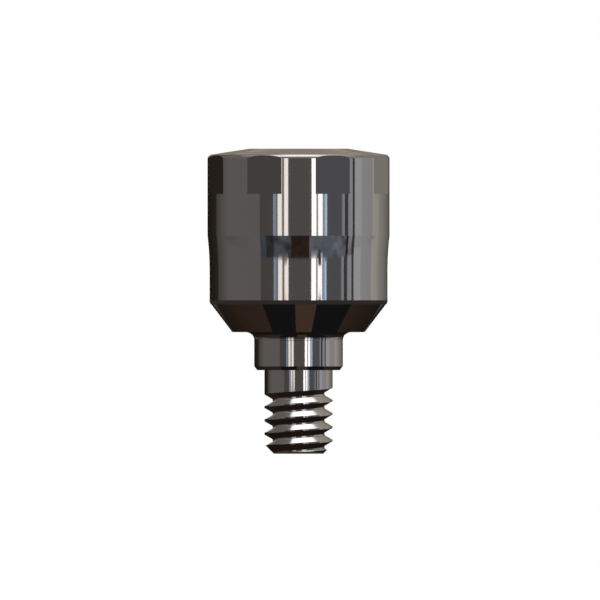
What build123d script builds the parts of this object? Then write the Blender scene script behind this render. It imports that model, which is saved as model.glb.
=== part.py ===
from build123d import *
from math import cos, pi, radians, tan
import os

# Magnetic abutment of a dental implant, in millimetres.
# It is turned about Z, with the head up. Z = 0 is the plane where its collar sits on the implant.
# Bearings are degrees from +X towards +Y, and the front of the head looks along -Y.

# Head
body_diameter = 4.80
head_height = 4.83             # from the implant to the flat top
top_flat_diameter = 2.60
top_cone_drop = 0.17           # the shallow cone falls this far from the flat top to the rim
rim_radius = 0.12

# Driver flats round the rim, cut into the body's diameter
flat_count = 8
flat_depth = 0.05
flat_length = 1.02             # down from the rim
first_flat_bearing = 22.5

# Waist below the head: a crease, then a long hollow curve that ends upright on the collar
crease_height = 2.54
waist_length = 0.95
waist_depth = 0.055            # the collar is this much inside the body, on the radius

# Cone that spreads from the implant to the collar
seat_diameter = 3.50
cone_height = 0.78
cone_corner_radius = 0.18

# Neck that centres the abutment in the implant
neck_diameter = 2.34
neck_length = 1.00
neck_root_radius = 0.22
neck_chamfer_height = 0.10
neck_chamfer_width = 0.075

# Threaded stem, M1.8 with the fine pitch, right-handed
thread_diameter = 1.80
thread_pitch = 0.35
flank_angle = 30.0             # of each flank, from square to the axis
crest_share = 1 / 8            # of the pitch, for the flat on each crest
depth_share = 0.61343          # of the pitch, for the depth of the groove
stem_length = 2.20             # below the neck
stem_chamfer = 0.25
plain_shank_length = 0.60      # from the neck down to where the groove is first at full depth
full_depth_bearing = 40.0      # there
run_out_angle = 100.0          # the groove rises out of the shank over this much of a turn

# Magnet, sealed in a pocket of the head by a welded lid
magnet_diameter = 3.60
magnet_height = 2.20
magnet_edge_chamfer = 0.10
magnet_side_clearance = 0.02
magnet_top_clearance = 0.02
lid_diameter = 3.88
lid_thickness = 0.30           # at its middle
lid_clearance = 0.01           # round its edge, before the weld closes it

# Worked out from the sizes above
body_radius = body_diameter / 2
rim_height = head_height - top_cone_drop
flat_bottom = rim_height - flat_length
collar_radius = body_radius - waist_depth
waist_bottom = crease_height - waist_length
waist_arc_radius = (waist_length**2 + waist_depth**2) / (2 * waist_depth)
neck_radius = neck_diameter / 2
stem_radius = thread_diameter / 2
stem_end = -neck_length - stem_length
lid_seat = head_height - lid_thickness
pocket_floor = lid_seat - magnet_top_clearance - magnet_height
pocket_radius = magnet_diameter / 2 + magnet_side_clearance
groove_depth = depth_share * thread_pitch
groove_radius = stem_radius - groove_depth
groove_top = -neck_length - plain_shank_length
groove_rise = groove_top - (stem_end - thread_pitch)
# The groove's cutter stands this far out of the crest, so that its turns stay clear of each other
cutter_stand_out = thread_pitch / 16


def corner_fillet(face, radius, height, corner_radius):
    """Rounds the one corner of a half section that lies at this radius and height."""
    corner = face.vertices().sort_by_distance((radius, 0, height))[0]
    return fillet(corner, corner_radius)


def head_section():
    """Half section of everything above the stem, in the XZ plane."""
    below = Polyline(
        (0, -neck_length),
        (neck_radius - neck_chamfer_width, -neck_length),
        (neck_radius, -neck_length + neck_chamfer_height),
        (neck_radius, 0),
        (seat_diameter / 2, 0),
        (collar_radius, cone_height),
        (collar_radius, waist_bottom),
    )
    waist = RadiusArc(below @ 1, (body_radius, crease_height), waist_arc_radius)
    above = Polyline(
        waist @ 1,
        (body_radius, rim_height),
        (top_flat_diameter / 2, head_height),
        (0, head_height),
        (0, -neck_length),
    )
    section = Plane.XZ * make_face([below, waist, above])
    section = corner_fillet(section, neck_radius, 0, neck_root_radius)
    section = corner_fillet(section, collar_radius, cone_height, cone_corner_radius)
    return corner_fillet(section, body_radius, rim_height, rim_radius)


def driver_flats():
    """The stock that is milled off the rim to leave the flats."""
    height = head_height - flat_bottom
    slab = Box(body_radius, body_diameter, height, align=(Align.MIN, Align.CENTER, Align.MIN))
    cutter = Pos(body_radius - flat_depth, 0, flat_bottom) * slab
    step = 360 / flat_count
    return [Rot(0, 0, first_flat_bearing + n * step) * cutter for n in range(flat_count)]


def magnet_pocket():
    """The bore for the magnet, with a wider step on top that takes the lid."""
    up = (Align.CENTER, Align.CENTER, Align.MIN)
    bore = Pos(0, 0, pocket_floor) * Cylinder(pocket_radius, head_height - pocket_floor, align=up)
    step = Pos(0, 0, lid_seat) * Cylinder(lid_diameter / 2 + lid_clearance, lid_thickness, align=up)
    return bore + step


def groove_half_width(radius):
    """Half the width of the thread's groove at this distance from the axis."""
    at_crest = thread_pitch * (1 - crest_share) / 2
    return at_crest - (stem_radius - radius) * tan(radians(flank_angle))


def groove_section(point):
    """The groove's outline in the plane through the axis and this point, which is on its floor."""
    outward = Vector(point.X, point.Y, 0).normalized()
    along = Vector(-outward.Y, outward.X, 0)
    floor = groove_half_width(groove_radius)
    mouth = groove_half_width(stem_radius + cutter_stand_out)
    height = groove_depth + cutter_stand_out
    outline = Polyline((0, -floor), (height, -mouth), (height, mouth), (0, floor), close=True)
    return Plane(origin=point, x_dir=outward, z_dir=along) * make_face(outline)


def run_out_point(share):
    """A point of the groove's floor where it leaves the shank, at this share of the run-out."""
    bearing = full_depth_bearing + run_out_angle * share
    radius = groove_radius + (groove_depth + 2 * cutter_stand_out) * (1 - cos(share * pi / 2))
    height = groove_top + thread_pitch * run_out_angle * share / 360
    return Vector(radius, 0, height).rotate(Axis.Z, bearing)


def thread_groove():
    """The helical groove from below the stem's end to full depth, and its run-out above."""
    start_bearing = full_depth_bearing - 360 * groove_rise / thread_pitch
    helix = Helix(thread_pitch, groove_rise, groove_radius)
    helix = Pos(0, 0, groove_top - groove_rise) * Rot(0, 0, start_bearing) * helix
    leaving = run_out_point(1) - run_out_point(0.98)
    rising = Spline(*[run_out_point(n / 8) for n in range(9)], tangents=(helix % 1, leaving))
    return [
        sweep(groove_section(helix @ 0), path=helix, is_frenet=True),
        sweep(groove_section(helix @ 1), path=rising, is_frenet=True),
    ]


def threaded_stem():
    """The stem: its rod is threaded past its end, then faced off and chamfered."""
    down = (Align.CENTER, Align.CENTER, Align.MAX)
    rod = Cylinder(stem_radius, stem_length + 2 * thread_pitch, align=down)
    rod = Pos(0, 0, -neck_length) * rod
    for groove in thread_groove():
        rod = rod - groove
    faced = Pos(0, 0, -neck_length) * Cylinder(stem_radius, stem_length, align=down)
    wider = Pos(0, 0, -neck_length) * Cylinder(thread_diameter, stem_length, align=down)
    cone = chamfer(wider.edges().sort_by(Axis.Z)[0], thread_diameter - stem_radius + stem_chamfer)
    return rod & cone


def abutment_body():
    """The turned titanium body: head, waist, cone, neck and threaded stem in one piece."""
    head = revolve(head_section(), Axis.Z)
    head = head - driver_flats() - magnet_pocket()
    return head + threaded_stem()


def magnet():
    """The magnet disc, resting on the pocket's floor."""
    up = (Align.CENTER, Align.CENTER, Align.MIN)
    disc = Pos(0, 0, pocket_floor) * Cylinder(magnet_diameter / 2, magnet_height, align=up)
    return chamfer(disc.edges().filter_by(GeomType.CIRCLE), magnet_edge_chamfer)


def magnet_lid():
    """The lid, whose top carries on the body's flat top and shallow cone."""
    lid_radius = lid_diameter / 2
    top_flat_radius = top_flat_diameter / 2
    fall = top_cone_drop / (body_radius - top_flat_radius)
    edge_height = head_height - fall * (lid_radius - top_flat_radius)
    section = Polyline(
        (0, lid_seat),
        (lid_radius, lid_seat),
        (lid_radius, edge_height),
        (top_flat_radius, head_height),
        (0, head_height),
        close=True,
    )
    return revolve(Plane.XZ * make_face(section), Axis.Z)


os.makedirs("parts", exist_ok=True)
export_step(abutment_body(), "parts/abutment_body.step")
export_step(magnet(), "parts/magnet.step")
export_step(magnet_lid(), "parts/magnet_lid.step")
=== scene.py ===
from math import asin, atan2, ceil, cos, degrees, pi, radians, sin, sqrt, tan

import bpy
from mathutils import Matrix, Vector


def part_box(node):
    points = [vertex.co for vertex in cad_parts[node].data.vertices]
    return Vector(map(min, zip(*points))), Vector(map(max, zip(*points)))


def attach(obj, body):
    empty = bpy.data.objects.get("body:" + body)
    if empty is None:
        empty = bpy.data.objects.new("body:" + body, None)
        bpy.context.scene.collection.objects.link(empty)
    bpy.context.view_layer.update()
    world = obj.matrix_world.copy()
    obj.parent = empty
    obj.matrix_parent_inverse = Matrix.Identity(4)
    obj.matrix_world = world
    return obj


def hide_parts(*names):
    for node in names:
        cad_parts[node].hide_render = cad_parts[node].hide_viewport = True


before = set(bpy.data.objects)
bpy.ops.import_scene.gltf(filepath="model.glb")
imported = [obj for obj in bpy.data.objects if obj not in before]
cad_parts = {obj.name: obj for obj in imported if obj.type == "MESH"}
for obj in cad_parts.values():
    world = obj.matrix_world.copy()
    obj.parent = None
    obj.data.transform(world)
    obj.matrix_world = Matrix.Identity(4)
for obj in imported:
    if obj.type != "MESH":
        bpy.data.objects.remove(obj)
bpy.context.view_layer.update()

mm = 0.001                                  # pieces are shaped in millimetres, then brought to metres
meshing = {
    "seamMerge": 0.0001,                    # closes a lathed seam, mm
    "threadMerge": 0.0002,                  # closes the turns of the thread
    "booleanMerge": 0.00002,                # edges of a few nanometres would close up in an export
    "smoothAngle": 5.8,                     # degrees; a sharper edge stays sharp
}
bodyLow, bodyHigh = [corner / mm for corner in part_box("abutment_body")]
lidLow, lidHigh = [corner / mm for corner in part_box("magnet_lid")]
magnetLow, magnetHigh = [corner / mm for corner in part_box("magnet")]

print("scene: the abutment is", round(lidHigh.z - bodyLow.z, 2), "mm high")


# Hand tools

def deselectAll():
    if bpy.context.mode != "OBJECT":
        bpy.ops.object.mode_set(mode="OBJECT")
    bpy.ops.object.select_all(action="DESELECT")


def pick(piece):
    deselectAll()
    piece.select_set(True)
    bpy.context.view_layer.objects.active = piece


def editAll(piece, kind="VERT"):
    pick(piece)
    bpy.ops.object.mode_set(mode="EDIT")
    bpy.ops.mesh.select_mode(type=kind)
    bpy.ops.mesh.select_all(action="SELECT")


def roundCorner(before, corner, after, radius, steps, guard=0):
    # the corner of an outline as an arc of this many steps; a guard point beyond each end keeps
    # the straight stretches free of the arc's shading
    before, corner, after = Vector(before), Vector(corner), Vector(after)
    toBefore = (before - corner).normalized()
    toAfter = (after - corner).normalized()
    half = toBefore.angle(toAfter) / 2
    centre = corner + (toBefore + toAfter).normalized() * radius / sin(half)
    start = corner + toBefore * radius / tan(half) - centre
    turn = start.angle_signed(corner + toAfter * radius / tan(half) - centre)
    points = []
    for step in range(steps + 1):
        angle = -turn * step / steps
        points.append(centre + Vector((start.x * cos(angle) - start.y * sin(angle),
                                       start.x * sin(angle) + start.y * cos(angle))))
    if guard:
        points = [points[0] + toBefore * guard] + points + [points[-1] + toAfter * guard]
    return points


def drawOutline(name, points):
    # one point of a plane is drawn out, point by point, into an outline of radius and height
    deselectAll()
    bpy.ops.mesh.primitive_plane_add(size=1, location=(0, 0, 0))
    piece = bpy.context.object
    piece.name = name
    editAll(piece)
    bpy.ops.mesh.merge(type="CENTER")
    bpy.ops.transform.translate(value=(points[0][0], 0, points[0][1]))
    for last, point in zip(points, points[1:]):
        step = (point[0] - last[0], 0, point[1] - last[1])
        bpy.ops.mesh.extrude_region_move(TRANSFORM_OT_translate={"value": step})
    bpy.ops.object.mode_set(mode="OBJECT")
    return piece


def latheOutline(name, points, steps):
    # the outline spun about the turning axis into a closed solid
    piece = drawOutline(name, points)
    editAll(piece)
    bpy.ops.mesh.spin(steps=steps, angle=2 * pi, center=(0, 0, 0), axis=(0, 0, 1))
    bpy.ops.mesh.select_all(action="SELECT")
    bpy.ops.mesh.remove_doubles(threshold=meshing["seamMerge"])
    bpy.ops.mesh.normals_make_consistent(inside=False)
    bpy.ops.object.mode_set(mode="OBJECT")
    return piece


def cutWith(piece, cutter, operation):
    # a boolean that is applied at once, after which the cutter goes
    pick(piece)
    boolean = piece.modifiers.new("cut", "BOOLEAN")
    boolean.operation = operation
    boolean.solver = "EXACT"
    boolean.object = cutter
    bpy.ops.object.modifier_apply(modifier=boolean.name)
    bpy.data.objects.remove(cutter)


def toMetres(piece):
    pick(piece)
    piece.scale = (mm, mm, mm)
    bpy.ops.object.transform_apply(location=True, rotation=True, scale=True)


def smooth(piece):
    pick(piece)
    bpy.ops.object.shade_smooth_by_angle(angle=radians(meshing["smoothAngle"]))


def newMaterial(name):
    material = bpy.data.materials.new(name)
    material.use_nodes = True
    return material, material.node_tree.nodes, material.node_tree.links


def makeMatte(name, colour):
    material, nodes, links = newMaterial(name)
    matte = nodes["Principled BSDF"]
    matte.inputs["Base Color"].default_value = colour
    matte.inputs["Roughness"].default_value = 1
    matte.inputs["Specular IOR Level"].default_value = 0
    return material


# Camera: level, far off and flat, as in the photograph

view = {
    "pixelsPerMm": 38.0,
    "pixelsAcross": 600,
    "right": 0.038,                         # of the axis, mm
    "height": 0.847,                        # above the implant seat, mm
    "distance": 200.0,
}
deselectAll()
bpy.ops.object.camera_add(
    location=(view["right"] * mm, -view["distance"] * mm, view["height"] * mm),
    rotation=(radians(90), 0, 0),
)
camera = bpy.context.object
camera.data.type = "ORTHO"
camera.data.ortho_scale = view["pixelsAcross"] / view["pixelsPerMm"] * mm
camera.data.clip_start = 0.01
camera.data.clip_end = 5
bpy.context.scene.camera = camera
bpy.context.scene.view_settings.view_transform = "Standard"

# Studio: a pale floor under a white sky, a soft light overhead and cards that the metal mirrors

studio = {
    "floorLevel": bodyLow.z,
    "floorRadius": 600.0,
    "floorColour": (0.80, 0.795, 0.785, 1),
    "skyForDiffuse": 0.72,
    "cardLift": 0.02,                       # of a card that lies on the floor
    "cardStep": 3,                          # degrees of a card's bend between its edges
    "cloudScale": 130,                      # of a clouded card
    "clouding": 0.4,
    "cloudLow": 0.3,
    "cloudHigh": 0.7,
    "wallRadius": 48.0,
    "wallTop": 20.0,
    "backTop": 8.0,                         # of the walls behind the abutment
    "cornice": 62.0,                        # the dim upper walls end at this height
    "sillHeight": 1.2,                      # under the windows
    "sillGap": 0.2,                         # from the wall behind
    "farRadius": 24.0,                      # the far floor cards reach from here to the walls
    "nearRadius": 8.0,                      # inside this the floor cards are in the object's shade
    "nearShade": 0.35,
    "nearStart": 1.0,
    "reflectorRadius": 60,
    "footHole": 0.05,
    "footInner": 1.5,                       # the inner foot cloth ends here
    "footRim": 2.0,                         # the outer one's edge, before it is drawn out to its reach
    "footReach": [(0, 4.0), (60, 4.8), (90, 5.6), (112, 7.0), (127, 8.8),
                  (136, 10.6), (146, 12.2), (156, 12.2), (168, 10.0), (180, 9.4)],
}


def addCard(name, start, end, outline, colour, levels, clouding=0):
    # a lit card seen only in the metal; bearings are from the camera to the right, in degrees
    card = drawOutline(name, outline)
    editAll(card)
    steps = ceil((end - start) / studio["cardStep"])
    bpy.ops.mesh.spin(steps=steps, angle=radians(start - end), center=(0, 0, 0), axis=(0, 0, 1))
    bpy.ops.object.mode_set(mode="OBJECT")
    card.rotation_euler.z = radians(start - 90)
    toMetres(card)
    for ray in ("camera", "diffuse", "shadow", "transmission", "volume_scatter"):
        setattr(card, "visible_" + ray, False)
    material, nodes, links = newMaterial(name)
    nodes.remove(nodes["Principled BSDF"])
    glow = nodes.new("ShaderNodeEmission")
    glow.inputs["Color"].default_value = (*colour, 1)
    links.new(glow.outputs[0], nodes["Material Output"].inputs["Surface"])
    place = nodes.new("ShaderNodeTexCoord")
    if clouding:
        cloud = nodes.new("ShaderNodeTexNoise")
        cloud.inputs["Scale"].default_value = studio["cloudScale"]
        cloud.inputs["Detail"].default_value = 1
        patchy = nodes.new("ShaderNodeMapRange")
        patchy.inputs["From Min"].default_value = studio["cloudLow"]
        patchy.inputs["From Max"].default_value = studio["cloudHigh"]
        patchy.inputs["To Min"].default_value = levels[0] * (1 - clouding)
        patchy.inputs["To Max"].default_value = levels[1] * (1 + clouding)
        links.new(place.outputs["Object"], cloud.inputs["Vector"])
        links.new(cloud.outputs["Fac"], patchy.inputs["Value"])
        links.new(patchy.outputs["Result"], glow.inputs["Strength"])
    elif levels[0] == levels[1]:
        glow.inputs["Strength"].default_value = levels[0]
    else:
        split = nodes.new("ShaderNodeSeparateXYZ")
        back = nodes.new("ShaderNodeMath")
        back.operation = "MULTIPLY"
        back.inputs[1].default_value = -1
        bearing = nodes.new("ShaderNodeMath")
        bearing.operation = "ARCTAN2"
        shade = nodes.new("ShaderNodeMapRange")
        shade.inputs["From Min"].default_value = radians(start)
        shade.inputs["From Max"].default_value = radians(end)
        shade.inputs["To Min"].default_value = levels[0]
        shade.inputs["To Max"].default_value = levels[1]
        links.new(place.outputs["Object"], split.inputs[0])
        links.new(split.outputs["Y"], back.inputs[0])
        links.new(split.outputs["X"], bearing.inputs[0])
        links.new(back.outputs[0], bearing.inputs[1])
        links.new(bearing.outputs[0], shade.inputs["Value"])
        links.new(shade.outputs["Result"], glow.inputs["Strength"])
    card.data.materials.append(material)
    return card


def addWall(name, start, end, colour, levels, top=studio["wallTop"]):
    radius = studio["wallRadius"]
    addCard(name, start, end, [(radius, studio["floorLevel"]), (radius, top)], colour, levels)


def addFloorCard(name, start, end, inner, outer, colour, levels):
    height = studio["floorLevel"] + studio["cardLift"]
    addCard(name, start, end, [(inner, height), (outer, height)], colour, levels)


def addNear(name, start, end, colour, levels):
    # the part of the floor that the metal mirrors from higher viewpoints
    shaded = [level * studio["nearShade"] for level in levels]
    addFloorCard(name, start, end, studio["nearRadius"], studio["farRadius"], colour, levels)
    addFloorCard(name + "Shaded", start, end, studio["nearStart"], studio["nearRadius"], colour, shaded)


def addBoth(name, start, end, colour, levels):
    addWall(name, start, end, colour, levels)
    addNear(name + "Near", start, end, colour, levels)


def addFar(name, start, end, colour, levels):
    addFloorCard(name, start, end, studio["farRadius"], studio["wallRadius"], colour, levels)


def addSill(name, start, end, colour, levels):
    # the far floor and the foot of the wall behind it, up to the windows
    low = studio["floorLevel"] + studio["cardLift"]
    far = studio["wallRadius"] - studio["sillGap"]
    outline = [(studio["farRadius"], low), (far, low), (far, low + studio["sillHeight"])]
    addCard(name, start, end, outline, colour, levels, studio["clouding"])


def addPost(name, start, end, low, high, colour, level):
    # a thing before a window, so high that the waist mirrors it and the neck doesn't
    radius = studio["farRadius"]
    outline = [(radius, studio["floorLevel"] + low), (radius, studio["floorLevel"] + high)]
    addCard(name, start, end, outline, colour, (level, level))


def addGlow(name, start, end, inner, outer, high, colour, level):
    # light or shade on the far floor and the sill before a window
    low = studio["floorLevel"] + 2 * studio["cardLift"]
    addCard(name, start, end, [(inner, low), (outer, low), (outer, low + high)], colour, (level, level))


def addCornice(name, start, end, colour, level):
    radius = studio["wallRadius"]
    outline = [(radius, studio["wallTop"]), (radius, studio["cornice"])]
    addCard(name, start, end, outline, colour, (level, level))


def addReflector(name, start, end, low, high, colour, level):
    # behind the walls and above them, for the flat top and the back
    radius = studio["reflectorRadius"]
    addCard(name, start, end, [(radius, low), (radius, high)], colour, (level, level))


def footReach(bearing):
    # how far out the cone mirrors the floor at this bearing, seen from the camera
    reach = studio["footReach"]
    for (low, near), (high, far) in zip(reach, reach[1:]):
        if low <= bearing <= high:
            return near + (far - near) * (bearing - low) / (high - low)
    return reach[-1][1]


def addFoot(name, start, end, colour, levels):
    # a dark cloth round the foot, which only the cone and the undersides mirror
    height = studio["floorLevel"] + 2 * studio["cardLift"]
    outline = [(studio["footHole"], height), (studio["footRim"], height)]
    card = addCard(name, start, end, outline, colour, levels)
    for vertex in card.data.vertices:
        x, y, z = vertex.co / mm
        radius = sqrt(x * x + y * y)
        if radius > studio["footInner"]:
            grow = footReach(abs(degrees(atan2(x, -y)))) / radius
            vertex.co.x *= grow
            vertex.co.y *= grow


white, warm, grey, dusk = (1, 1, 1), (1, 0.95, 0.89), (1.05, 1, 0.97), (0.97, 1.02, 1.13)
brown, umber, slate, black = (1.6, 1, 0.72), (1.4, 1, 0.8), (0.86, 1, 1.2), (0.95, 1, 1.1)

addBoth("leftReturn", -49, -31.4, (1.05, 1, 1), (0.17, 0.18))
addBoth("leftWindowReveal", -31.4, -25.9, (0.62, 0.76, 1.02), (1.35, 0.4))
addBoth("leftWindowOuter", -25.9, -20.5, warm, (2.75, 2.75))
addBoth("leftMullion", -20.5, -17.8, warm, (0.4, 0.4))
addBoth("leftWindowInner", -17.8, -12.8, (1, 0.96, 0.93), (2.9, 2.9))
addBoth("frontWall", -12.8, 16.2, (1.02, 1, 0.98), (0.225, 0.225))
addBoth("rightWindowInner", 16.2, 22.0, white, (4.1, 4.1))
addBoth("rightMullion", 22.0, 24.1, white, (0.5, 0.5))
addBoth("rightWindowOuter", 24.1, 30.0, white, (3.6, 3.6))
addBoth("rightWindowReveal", 30.0, 35.5, (0.62, 0.8, 1.1), (0.4, 2.6))
addBoth("rightReturn", 35.5, 55.5, dusk, (0.235, 0.23))
addBoth("rightFrameOuter", 55.5, 59.5, dusk, (0.50, 0.78))
addBoth("rightFrameGap", 59.5, 64.5, white, (0.12, 0.12))
addBoth("rightFrameInner", 64.5, 71.0, dusk, (0.72, 0.78))
addBoth("rightFrameShadow", 71.0, 74.5, white, (0.13, 0.13))

addWall("leftWall", -100, -49, grey, (0.325, 0.31))
addWall("leftWallFar", -126, -100, grey, (0.17, 0.325))
addWall("leftFlag", -172, -126, (1.2, 1, 0.8), (0.03, 0.065), studio["backTop"])
addWall("rightScreenCool", 74.5, 86.0, (0.96, 1, 1.08), (0.98, 0.96))
addWall("rightScreen", 86.0, 106.0, (1, 1.02, 1.05), (0.78, 0.72))
addWall("rightScreenWarm", 106.0, 121.0, (1.05, 1, 0.94), (0.95, 0.9))
addWall("rightScreenFade", 121.0, 145.0, (1.05, 1.02, 0.95), (0.78, 0.62))
addWall("rightScreenEnd", 145.0, 162.0, (1.05, 1.02, 0.95), (0.62, 0.22))
addWall("rightFlag", 162.0, 172.0, grey, (0.2, 0.1), studio["backTop"])
addWall("backWindowRight", 172, 175.5, white, (2.6, 2.6), studio["backTop"])
addWall("backWall", 175.5, 184.5, (1.1, 1, 0.9), (0.36, 0.36), studio["backTop"])
addWall("backWindowLeft", 184.5, 188, white, (2.6, 2.6), studio["backTop"])

addNear("leftWallNear", -108, -49, grey, (0.3, 0.28))
addNear("leftFlagNear", -126, -108, grey, (0.14, 0.2))
addNear("rightScreenNear", 74.5, 121, white, (0.8, 0.75))
addNear("leftBackNear", -150, -126, grey, (0.30, 0.16))
addNear("rightBackNear", 121, 150, grey, (0.45, 0.30))
addNear("backReturnRightNear", 150, 165, umber, (0.06, 0.06))
addNear("backWindowRightNear", 165, 175, white, (2.8, 2.8))
addNear("backWallNear", 175, 186, grey, (0.24, 0.24))
addNear("backWindowLeftNear", 186, 194, warm, (2.6, 2.6))
addNear("backReturnLeftNear", 194, 210, umber, (0.06, 0.06))

addFar("leftFar", -126, -49, (1, 1, 0.98), (0.24, 0.335))
addSill("leftReturnFar", -49, -41, slate, (0.24, 0.13))
addSill("leftRevealFar", -41, -31, slate, (0.08, 0.07))
addSill("leftFrontFar", -31, -9, slate, (0.1, 0.19))
addSill("frontFar", -9, 13.4, (1.6, 0.86, 0.72), (0.042, 0.042))
addSill("rightFrontFar", 13.4, 42, slate, (0.38, 0.28))
addSill("rightRevealFar", 42, 62, slate, (0.24, 0.38))
addSill("rightLineFar", 62, 65, (1.5, 0.9, 1.1), (0.03, 0.03))
addSill("rightFrameFar", 65, 70.3, white, (0.52, 0.52))
addSill("rightShadowFar", 70.3, 74.5, white, (0.09, 0.09))
addFar("rightFar", 74.5, 150, (1, 1, 1), (0.85, 0.42))
addFar("backFar", 150, 234, grey, (0.1, 0.1))

addFoot("footFront", -5, 26, brown, (0.098, 0.098))
addFoot("footFrontLeft", -53, -5, black, (0.02, 0.02))
addFoot("footFrontRight", 26, 79, black, (0.02, 0.02))
addFoot("footLeft", -112, -53, brown, (0.047, 0.055))
addFoot("footBack", 112, 248, umber, (0.042, 0.042))
addFoot("footRight", 79, 112, brown, (0.052, 0.044))
innerHeight = studio["floorLevel"] + 3 * studio["cardLift"]
innerOutline = [(studio["footHole"], innerHeight), (studio["footInner"], innerHeight)]
addCard("footInner", 0, 360, innerOutline, (1.5, 1, 0.66), (0.027, 0.027))

addGlow("leftGlowLow", -25.4, -13.2, 47.3, 47.6, 0.95, (0.9, 1, 1.1), 0.3)
addGlow("leftGlow", -25.4, -20.5, 47.6, 47.7, 1.7, (0.97, 1, 1.02), 1.2)
addGlow("leftGlowInner", -17.8, -13.2, 47.6, 47.7, 1.7, (1, 0.95, 0.92), 0.95)
addGlow("rightGlowLow", 15.8, 24.4, 41.5, 47.4, 0.4, (0.92, 1, 1.08), 0.58)
addGlow("rightGlow", 16.2, 22.4, 47.4, 47.7, 1.25, (0.96, 1, 1.04), 1.3)
addGlow("rightGlowOuter", 28.0, 30.6, 47.2, 47.7, 1.25, (0.94, 1, 1.06), 1.1)
addGlow("rightPostFoot", 25.0, 28.0, 41.5, 47.4, 1.3, (1, 0.75, 0.9), 0.1)

addPost("leftPost", -17.6, -14.3, 3.22, 3.55, (1, 0.8, 0.75), 0.6)
addPost("leftPostMiddle", -17.6, -14.3, 3.55, 3.9, (1, 0.8, 0.75), 1.2)
addPost("leftPostTop", -17.6, -14.8, 3.9, 4.1, (1, 0.87, 0.82), 1.9)
addPost("rightPost", 24.2, 28.1, 3.22, 4.06, (1, 0.7, 0.85), 0.12)
addPost("rightPostTop", 24.8, 27.9, 4.06, 4.14, (1, 0.8, 0.8), 1.0)
addPost("rightRevealFoot", 32.6, 35.8, 3.22, 3.7, dusk, 0.5)

addCornice("leftCornice", -172, -49, grey, 0.4)
addCornice("frontCornice", -49, 74.5, grey, 0.45)
addCornice("rightCornice", 74.5, 150, grey, 0.6)

addReflector("backReflectorFoot", 150, 210, 8, 12, (1, 0.85, 0.7), 0.32)
addReflector("backReflectorLow", 150, 210, 12, 17, (1, 0.85, 0.7), 0.44)
addReflector("backReflector", 150, 210, 17, 26, (1, 0.85, 0.7), 0.78)
addReflector("backReflectorRight", 150, 182, 26, 66, (1, 0.88, 0.72), 1.15)
addReflector("backReflectorLeft", 182, 215, 26, 84, (1, 0.9, 0.82), 0.5)
addCard("ceilingLightRight", 161, 181, [(55, 62), (24, 80)], white, (5, 5))
addCard("ceilingLightLeft", 181, 197, [(54, 66), (24, 80)], white, (5, 5))
print("scene: cards set")

softbox = {
    "size": 80.0,
    "level": 1.7,
    "towardsCamera": 10.0,
    "height": 100.0,
    "tilt": -0.1,                           # radians, to face the abutment
}
deselectAll()
bpy.ops.object.light_add(
    type="AREA",
    location=(0, -softbox["towardsCamera"] * mm, softbox["height"] * mm),
    rotation=(softbox["tilt"], 0, 0),
)
overhead = bpy.context.object
overhead.name = "overheadSoftbox"
overhead.data.shape = "RECTANGLE"
overhead.data.size = overhead.data.size_y = softbox["size"] * mm
overhead.data.energy = softbox["level"] * pi * overhead.data.size ** 2
overhead.visible_camera = False

deselectAll()
bpy.ops.mesh.primitive_circle_add(vertices=128, radius=studio["floorRadius"] * mm, fill_type="NGON",
                                  location=(0, 0, studio["floorLevel"] * mm))
floor = bpy.context.object
floor.name = "paleFloor"
floor.data.materials.append(makeMatte("palePaper", studio["floorColour"]))


def makeSky():
    # white to the camera and in the metal, and a plain level of light on everything else
    world = bpy.data.worlds.new("studioSky")
    bpy.context.scene.world = world
    world.use_nodes = True
    nodes, links = world.node_tree.nodes, world.node_tree.links
    sky = nodes["Background"]
    sky.inputs["Color"].default_value = (1, 1, 1, 1)
    ray = nodes.new("ShaderNodeLightPath")
    seen = nodes.new("ShaderNodeMath")
    seen.operation = "MAXIMUM"
    links.new(ray.outputs["Is Camera Ray"], seen.inputs[0])
    links.new(ray.outputs["Is Glossy Ray"], seen.inputs[1])
    either = nodes.new("ShaderNodeMath")
    either.operation = "MAXIMUM"
    links.new(seen.outputs[0], either.inputs[0])
    links.new(ray.outputs["Is Transmission Ray"], either.inputs[1])
    level = nodes.new("ShaderNodeMapRange")
    level.inputs["To Min"].default_value = studio["skyForDiffuse"]
    level.inputs["To Max"].default_value = 1
    links.new(either.outputs[0], level.inputs["Value"])
    links.new(level.outputs["Result"], sky.inputs["Strength"])


makeSky()


# Abutment body, turned from one bar

body = {
    "latheSteps": 480,
    "waistSteps": 26,
    "rimSteps": 20,
    "coneSteps": 12,
    "edgeSteps": 6,
    "rootSteps": 22,
    "topFlatRadius": 1.30,
    "topConeDrop": 0.17,
    "rimRound": 0.12,
    "flatDepth": 0.05,
    "flatLength": 1.02,
    "flatCount": 8,
    "firstFlat": 22.5,
    "creaseHeight": 2.54,
    "waistLength": 0.95,
    "waistDepth": 0.055,
    "seatRadius": 1.75,
    "coneHeight": 0.78,
    "coneRound": 0.18,
    "neckRadius": 1.17,
    "neckLength": 1.00,
    "neckRoot": 0.22,
    "neckChamferHeight": 0.10,
    "neckChamferWidth": 0.075,
    "guard": 0.01,                          # of a guard point from its arc's end
    "edgeBreak": 0.005,                     # the barely broken edge of the seat
    "lidGap": 0.01,
    "weldDepth": 0.04,                      # the weld closes the gap this far down
    "weldGap": 0.0006,                      # at the top, so that body and lid don't share a face
    "sideClearance": 0.02,                  # round the magnet
}
body["radius"] = bodyHigh.x
body["headHeight"] = lidHigh.z
body["rimHeight"] = body["headHeight"] - body["topConeDrop"]
body["collarRadius"] = body["radius"] - body["waistDepth"]
body["topSlope"] = body["topConeDrop"] / (body["radius"] - body["topFlatRadius"])


def topHeight(radius):
    # height of the head's flat top and shallow cone at this radius
    return body["headHeight"] - max(0, radius - body["topFlatRadius"]) * body["topSlope"]


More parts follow.
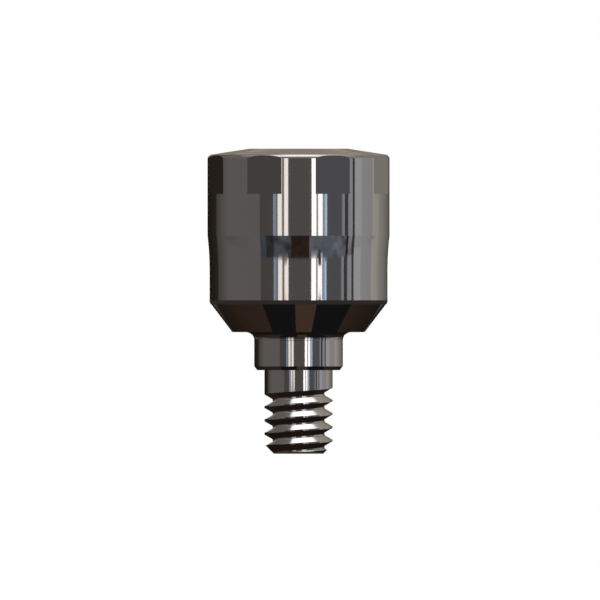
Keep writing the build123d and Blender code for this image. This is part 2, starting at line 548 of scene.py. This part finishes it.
def waistPoints(steps):
    # the hollow curve from the upright collar out to the crease
    length, depth = body["waistLength"], body["waistDepth"]
    arcRadius = (length * length + depth * depth) / (2 * depth)
    bottom = body["creaseHeight"] - length
    points = []
    for step in range(steps + 1):
        angle = asin(length / arcRadius) * step / steps
        points.append((body["collarRadius"] + arcRadius * (1 - cos(angle)),
                       bottom + arcRadius * sin(angle)))
    return points


def bodyOutline():
    b = body
    pocketRadius = magnetHigh.x + b["sideClearance"]
    boreRadius = lidHigh.x + b["lidGap"]
    weldRadius = lidHigh.x + b["weldGap"]
    waist = waistPoints(b["waistSteps"])
    waistBottom, crease = waist[0], waist[-1]
    rim = (b["radius"], b["rimHeight"])
    coneTop = (b["collarRadius"], b["coneHeight"])
    seatEdge = (b["seatRadius"], 0)
    seatRoot = (b["neckRadius"], 0)
    neckEdge = (b["neckRadius"], b["neckChamferHeight"] - b["neckLength"])
    points = [
        (0, magnetLow.z),
        (pocketRadius, magnetLow.z),
        (pocketRadius, lidLow.z),
        (boreRadius, lidLow.z),
        (boreRadius, topHeight(boreRadius) - b["weldDepth"]),
        (weldRadius, topHeight(weldRadius)),
    ]
    points += roundCorner(points[-1], rim, crease, b["rimRound"], b["rimSteps"], b["guard"])
    points += reversed(waist)
    points += roundCorner(waistBottom, coneTop, seatEdge, b["coneRound"], b["coneSteps"], b["guard"])
    points += roundCorner(coneTop, seatEdge, seatRoot, b["edgeBreak"], b["edgeSteps"])
    points += roundCorner(seatEdge, seatRoot, neckEdge, b["neckRoot"], b["rootSteps"], b["guard"])
    points += [
        neckEdge,
        (b["neckRadius"] - b["neckChamferWidth"], -b["neckLength"]),
        (0, -b["neckLength"]),
    ]
    return points


def makeFlatCutters():
    # eight blocks round the rim, each with its inner face on a driver flat
    size = 2.0
    low = body["rimHeight"] - body["flatLength"]
    cutters = []
    for n in range(body["flatCount"]):
        bearing = radians(body["firstFlat"] + n * 360 / body["flatCount"])
        reach = body["radius"] - body["flatDepth"] + size / 2
        deselectAll()
        bpy.ops.mesh.primitive_cube_add(
            size=size,
            location=(reach * cos(bearing), reach * sin(bearing), low + size / 2),
            rotation=(0, 0, bearing),
        )
        cutters.append(bpy.context.object)
    for cutter in cutters:
        cutter.select_set(True)
    bpy.ops.object.join()
    bpy.ops.object.transform_apply(location=True, rotation=True, scale=True)
    return bpy.context.object


# Threaded stem, right-handed

stem = {
    "stepsPerTurn": 96,
    "roundSteps": 4,
    "radius": 0.90,
    "pitch": 0.35,
    "depth": 0.61343 * 0.35,
    "crestFlat": 0.35 / 8,
    "flankAngle": 30,
    "crestRound": 0.008,
    "rootRound": 0.03,
    "endChamfer": 0.25,
    "plainLength": 0.582,
    "fullDepthBearing": 40,                 # degrees from +X towards +Y
    "runOutAngle": 100,
    "runOutLift": 1.05,                     # of the groove's depth, to clear the shank
    "surplus": 0.2,                         # drawn beyond both ends, then cut off
    "sunkInNeck": 0.1,
    "blankMargin": 0.1,                     # of the blank round the thread
}
stem["end"] = bodyLow.z
stem["grooveTop"] = -body["neckLength"] - stem["plainLength"]


def pitchOutline(low):
    # one pitch of the thread, from the middle of a crest to the middle of the next
    s = stem
    crest, root = s["radius"], s["radius"] - s["depth"]
    mouth = (s["pitch"] - s["crestFlat"]) / 2
    floor = mouth - s["depth"] * tan(radians(s["flankAngle"]))
    middle = low + s["pitch"] / 2
    corners = [
        (crest, low),
        (crest, middle - mouth),
        (root, middle - floor),
        (root, middle + floor),
        (crest, middle + mouth),
        (crest, low + s["pitch"]),
    ]
    rounds = [s["crestRound"], s["rootRound"], s["rootRound"], s["crestRound"]]
    points = [corners[0]]
    for n, radius in enumerate(rounds):
        points += roundCorner(corners[n], corners[n + 1], corners[n + 2], radius, s["roundSteps"])
    points.append(corners[-1])
    return points


def fadeThread(piece):
    # above full depth the groove lifts out of the shank, as it does behind a tool that draws back
    s = stem
    fullBearing = radians(s["fullDepthBearing"])
    runOut = radians(s["runOutAngle"])
    for vertex in piece.data.vertices:
        x, y, z = vertex.co
        radius = sqrt(x * x + y * y)
        if radius > s["radius"] - meshing["seamMerge"]:
            continue
        bearing = atan2(y, x) - fullBearing
        turns = round((z - s["grooveTop"]) / s["pitch"] - bearing / (2 * pi))
        past = (bearing + 2 * pi * turns) / runOut
        if past > 0:
            lift = s["runOutLift"] * s["depth"] * (1 - cos(min(past, 1) * pi / 2))
            lifted = min(s["radius"], radius + lift)
            vertex.co.x *= lifted / radius
            vertex.co.y *= lifted / radius


def makeStem():
    s = stem
    neckEnd = -body["neckLength"]
    # the groove's middle passes +X at this height, so a pitch is drawn about it, well below the end
    onX = s["grooveTop"] - s["pitch"] * s["fullDepthBearing"] / 360
    low = onX - s["pitch"] / 2
    while low > s["end"] - 1.5 * s["pitch"]:
        low -= s["pitch"]
    turns = ceil((neckEnd + s["surplus"] - low) / s["pitch"]) + 2
    piece = drawOutline("stem", pitchOutline(low))
    pick(piece)
    screw = piece.modifiers.new("screw", "SCREW")
    screw.angle = 2 * pi
    screw.screw_offset = s["pitch"]
    screw.iterations = turns
    screw.steps = screw.render_steps = s["stepsPerTurn"]
    screw.axis = "Z"
    bpy.ops.object.modifier_apply(modifier=screw.name)
    editAll(piece)
    bpy.ops.mesh.remove_doubles(threshold=meshing["threadMerge"])
    bpy.ops.object.mode_set(mode="OBJECT")
    fadeThread(piece)
    editAll(piece)
    bpy.ops.mesh.bisect(plane_co=(0, 0, s["end"] - s["surplus"]), plane_no=(0, 0, 1),
                        use_fill=True, clear_inner=True)
    bpy.ops.mesh.select_all(action="SELECT")
    bpy.ops.mesh.bisect(plane_co=(0, 0, neckEnd + s["surplus"]), plane_no=(0, 0, 1),
                        use_fill=True, clear_outer=True)
    bpy.ops.mesh.select_all(action="SELECT")
    bpy.ops.mesh.normals_make_consistent(inside=False)
    bpy.ops.object.mode_set(mode="OBJECT")
    wide = s["radius"] + s["blankMargin"]
    blank = latheOutline("stemBlank", [
        (0, s["end"]),
        (s["radius"] - s["endChamfer"], s["end"]),
        (wide, s["end"] + s["endChamfer"] + s["blankMargin"]),
        (wide, neckEnd + s["sunkInNeck"]),
        (0, neckEnd + s["sunkInNeck"]),
    ], body["latheSteps"])
    cutWith(piece, blank, "INTERSECT")
    return piece


def makeBody():
    piece = latheOutline("abutmentBody", bodyOutline(), body["latheSteps"])
    print("scene: body turned,", len(piece.data.polygons), "faces")
    cutWith(piece, makeFlatCutters(), "DIFFERENCE")
    print("scene: driver flats milled")
    threaded = makeStem()
    print("scene: stem threaded,", len(threaded.data.polygons), "faces")
    cutWith(piece, threaded, "UNION")
    editAll(piece)
    bpy.ops.mesh.remove_doubles(threshold=meshing["booleanMerge"])
    bpy.ops.object.mode_set(mode="OBJECT")
    toMetres(piece)
    smooth(piece)
    return piece


# Lid over the magnet

def makeLid():
    edge = lidHigh.x
    piece = latheOutline("magnetLid", [
        (0, lidLow.z),
        (edge, lidLow.z),
        (edge, topHeight(edge)),
        (body["topFlatRadius"], body["headHeight"]),
        (0, body["headHeight"]),
    ], body["latheSteps"])
    toMetres(piece)
    smooth(piece)
    return piece


# Materials

metals = {
    "polishedTitanium": {
        "colour": (0.285, 0.272, 0.262),
        "roughness": 0.045,
        "haze": 0.02,
        "ringsPerMetre": 60000,
        "ringDepth": 2e-8,                  # metres, as the shader takes it
    },
    "threadCutTitanium": {
        "colour": (0.30, 0.285, 0.27),
        "roughness": 0.09,
        "haze": 0.08,
        "ringsPerMetre": 90000,
        "ringDepth": 2e-7,
    },
    "sinteredMagnet": {
        "colour": (0.30, 0.29, 0.28),
        "roughness": 0.45,
        "haze": 0.2,
        "ringsPerMetre": 20000,
        "ringDepth": 1e-6,
    },
}
finish = {
    "grazingTint": 0.5,                     # keeps the outline dark, as on the real one
    "ringTone": 0.07,                       # how far the rings darken and lighten the metal
    "hazeScale": 1400,
    "weldSpots": 180,
    "weldHalfWidth": 0.06,
    "weldRoughness": 0.14,                  # added to the polished metal's
    "weldRipple": 0.003,
    "weldLowest": 0.23,                     # under the top, so that the pocket has no weld
    "weldCrescent": 0.7,                    # of a spot's length, how far its edge bends back
    "corner": (0.012, 0.0095, 0.008, 1),    # under the seat, a matte stand-in for a dark reflection
    "cornerDepth": 0.06,
    "cornerFacing": -0.5,                   # the corner's faces look down at least this much
    "collar": (0.036, 0.029, 0.027, 1),     # round the collar's lower corner, painted shade too: a matte stand-in for a dark reflection
    "collarReach": 0.1,
    "collarFacing": (-0.6, -0.02),          # between the cone's faces and the collar's
    "grooveTopBelowNeck": 0.3,
    "grooveUnderCrest": 0.002,
    "grooveAboveEnd": 0.01,
}


def addSockets(group, inputs, outputs):
    face = group.interface
    for name, value in inputs.items():
        socket = face.new_socket(name, in_out="INPUT", socket_type="NodeSocketFloat")
        socket.default_value = value
    for name in outputs:
        face.new_socket(name, in_out="OUTPUT", socket_type="NodeSocketFloat")


def makeTurningMarks():
    # fine rings left by the lathe and faint handling haze, for every turned surface
    group = bpy.data.node_groups.new("turningMarks", "ShaderNodeTree")
    addSockets(group, {"ringsPerMetre": 0, "haze": 0, "roughness": 0}, ["rings", "roughness"])
    nodes, links = group.nodes, group.links
    given = nodes.new("NodeGroupInput")
    out = nodes.new("NodeGroupOutput")
    place = nodes.new("ShaderNodeTexCoord")
    split = nodes.new("ShaderNodeSeparateXYZ")
    links.new(place.outputs["Object"], split.inputs[0])
    radial = nodes.new("ShaderNodeCombineXYZ")
    links.new(split.outputs["X"], radial.inputs["X"])
    links.new(split.outputs["Y"], radial.inputs["Y"])
    radius = nodes.new("ShaderNodeVectorMath")
    radius.operation = "LENGTH"
    links.new(radial.outputs[0], radius.inputs[0])
    along = nodes.new("ShaderNodeMath")
    along.operation = "SUBTRACT"
    links.new(split.outputs["Z"], along.inputs[0])
    links.new(radius.outputs["Value"], along.inputs[1])
    scaled = nodes.new("ShaderNodeMath")
    scaled.operation = "MULTIPLY"
    links.new(along.outputs[0], scaled.inputs[0])
    links.new(given.outputs["ringsPerMetre"], scaled.inputs[1])
    rings = nodes.new("ShaderNodeTexNoise")
    rings.noise_dimensions = "1D"
    rings.inputs["Scale"].default_value = 1
    rings.inputs["Detail"].default_value = 3
    links.new(scaled.outputs[0], rings.inputs["W"])
    links.new(rings.outputs["Fac"], out.inputs["rings"])
    cloud = nodes.new("ShaderNodeTexNoise")
    cloud.inputs["Scale"].default_value = finish["hazeScale"]
    cloud.inputs["Detail"].default_value = 4
    links.new(place.outputs["Object"], cloud.inputs["Vector"])
    hazy = nodes.new("ShaderNodeMath")
    hazy.operation = "MULTIPLY_ADD"
    links.new(cloud.outputs["Fac"], hazy.inputs[0])
    links.new(given.outputs["haze"], hazy.inputs[1])
    links.new(given.outputs["roughness"], hazy.inputs[2])
    links.new(hazy.outputs[0], out.inputs["roughness"])
    return group


def makeWeldSeam():
    # the laser's overlapping spots in a ring round the lid, as a mask and a height
    group = bpy.data.node_groups.new("weldSeam", "ShaderNodeTree")
    addSockets(group, {
        "ringRadius": lidHigh.x * mm,
        "halfWidth": finish["weldHalfWidth"] * mm,
        "spots": finish["weldSpots"],
        "lowest": (body["headHeight"] - finish["weldLowest"]) * mm,
    }, ["mask", "height"])
    nodes, links = group.nodes, group.links
    given = nodes.new("NodeGroupInput")
    out = nodes.new("NodeGroupOutput")

    def combine(operation, first, second):
        node = nodes.new("ShaderNodeMath")
        node.operation = operation
        for socket, value in zip(node.inputs, (first, second)):
            if isinstance(value, (int, float)):
                socket.default_value = value
            else:
                links.new(value, socket)
        return node.outputs[0]

    place = nodes.new("ShaderNodeTexCoord")
    split = nodes.new("ShaderNodeSeparateXYZ")
    links.new(place.outputs["Object"], split.inputs[0])
    x, y, z = split.outputs
    radius = combine("SQRT", combine("ADD", combine("MULTIPLY", x, x), combine("MULTIPLY", y, y)), 0)
    fromRing = combine("SUBTRACT", radius, given.outputs["ringRadius"])
    offset = combine("DIVIDE", fromRing, given.outputs["halfWidth"])
    across = combine("ABSOLUTE", offset, 0)
    band = nodes.new("ShaderNodeMapRange")
    band.interpolation_type = "SMOOTHSTEP"
    band.inputs["From Min"].default_value = 1
    band.inputs["From Max"].default_value = 0.75
    links.new(across, band.inputs["Value"])
    onTop = combine("GREATER_THAN", z, given.outputs["lowest"])
    mask = combine("MULTIPLY", band.outputs["Result"], onTop)
    # each spot freezes with a crescent edge that the next one partly covers
    turn = combine("DIVIDE", combine("ARCTAN2", y, x), 2 * pi)
    along = combine("MULTIPLY", turn, given.outputs["spots"])
    bend = combine("MULTIPLY", combine("MULTIPLY", offset, offset), finish["weldCrescent"])
    crescent = combine("FRACT", combine("ADD", along, bend), 0)
    links.new(mask, out.inputs["mask"])
    links.new(combine("MULTIPLY", mask, crescent), out.inputs["height"])
    return group


def addWeldSeam(material):
    nodes, links = material.node_tree.nodes, material.node_tree.links
    metal = nodes["Principled BSDF"]
    weld = nodes.new("ShaderNodeGroup")
    weld.node_tree = weldSeam
    rougher = nodes.new("ShaderNodeMath")
    rougher.operation = "MULTIPLY_ADD"
    rougher.inputs[1].default_value = finish["weldRoughness"]
    links.new(weld.outputs["mask"], rougher.inputs[0])
    links.new(metal.inputs["Roughness"].links[0].from_socket, rougher.inputs[2])
    links.new(rougher.outputs[0], metal.inputs["Roughness"])
    bump = nodes.new("ShaderNodeBump")
    bump.inputs["Distance"].default_value = finish["weldRipple"] * mm
    links.new(weld.outputs["height"], bump.inputs["Height"])
    links.new(metal.inputs["Normal"].links[0].from_socket, bump.inputs["Normal"])
    links.new(bump.outputs["Normal"], metal.inputs["Normal"])


def makeMetal(name):
    look = metals[name]
    material, nodes, links = newMaterial(name)
    metal = nodes["Principled BSDF"]
    metal.inputs["Metallic"].default_value = 1
    metal.inputs["Specular Tint"].default_value = (finish["grazingTint"],) * 3 + (1,)
    marks = nodes.new("ShaderNodeGroup")
    marks.node_tree = turningMarks
    for key in ("ringsPerMetre", "haze", "roughness"):
        marks.inputs[key].default_value = look[key]
    links.new(marks.outputs["roughness"], metal.inputs["Roughness"])
    tone = nodes.new("ShaderNodeMix")
    tone.data_type = "RGBA"
    for end, share in (("A", 1 - finish["ringTone"]), ("B", 1 + finish["ringTone"])):
        tone.inputs[end].default_value = [channel * share for channel in look["colour"]] + [1]
    links.new(marks.outputs["rings"], tone.inputs["Factor"])
    links.new(tone.outputs["Result"], metal.inputs["Base Color"])
    bump = nodes.new("ShaderNodeBump")
    bump.inputs["Strength"].default_value = 1
    bump.inputs["Distance"].default_value = look["ringDepth"]
    links.new(marks.outputs["rings"], bump.inputs["Height"])
    links.new(bump.outputs["Normal"], metal.inputs["Normal"])
    return material


turningMarks = makeTurningMarks()
weldSeam = makeWeldSeam()
polishedTitanium = makeMetal("polishedTitanium")
addWeldSeam(polishedTitanium)
cutTitanium = makeMetal("threadCutTitanium")
magnetAlloy = makeMetal("sinteredMagnet")
# painted shade: matte dark colours in place of the dark reflection under the seat and round the
# collar's lower corner
cornerShade = makeMatte("cornerShade", finish["corner"])
collarShade = makeMatte("collarShade", finish["collar"])
print("scene: materials made")

bodyPiece = makeBody()
lidPiece = makeLid()


def paintBody(piece):
    # polished all over, but for the thread's groove, left as it was cut, and the two corners painted
    # with matte dark shade
    piece.data.materials.clear()
    for material in (polishedTitanium, cutTitanium, cornerShade, collarShade):
        piece.data.materials.append(material)
    low = stem["end"] + finish["grooveAboveEnd"]
    high = -body["neckLength"] - finish["grooveTopBelowNeck"]
    inside = stem["radius"] - finish["grooveUnderCrest"]
    coneFacing, collarFacing = finish["collarFacing"]
    for face in piece.data.polygons:
        x, y, z = face.center / mm
        facing = face.normal.z
        inGroove = low < z < high and sqrt(x * x + y * y) < inside
        # painted shade under the seat, a matte dark colour in place of a dark reflection
        paintedCornerShade = -finish["cornerDepth"] < z < 0 and facing < finish["cornerFacing"]
        # painted shade round the collar's lower corner, a matte dark colour in place of a dark
        # reflection
        nearCollar = abs(z - body["coneHeight"]) < finish["collarReach"]
        paintedCollarShade = nearCollar and coneFacing < facing < collarFacing
        face.material_index = 1 if inGroove else 2 if paintedCornerShade else 3 if paintedCollarShade else 0


paintBody(bodyPiece)
lidPiece.data.materials.clear()
lidPiece.data.materials.append(polishedTitanium)
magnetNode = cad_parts["magnet"]
magnetNode.data.materials.clear()
magnetNode.data.materials.append(magnetAlloy)

for piece in (bodyPiece, lidPiece, magnetNode):
    piece.visible_glossy = False            # each face mirrors the studio alone

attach(bodyPiece, "root")
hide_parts("abutment_body")
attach(lidPiece, "root")
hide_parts("magnet_lid")
print("scene: body and lid painted and placed")


print("scene: done")
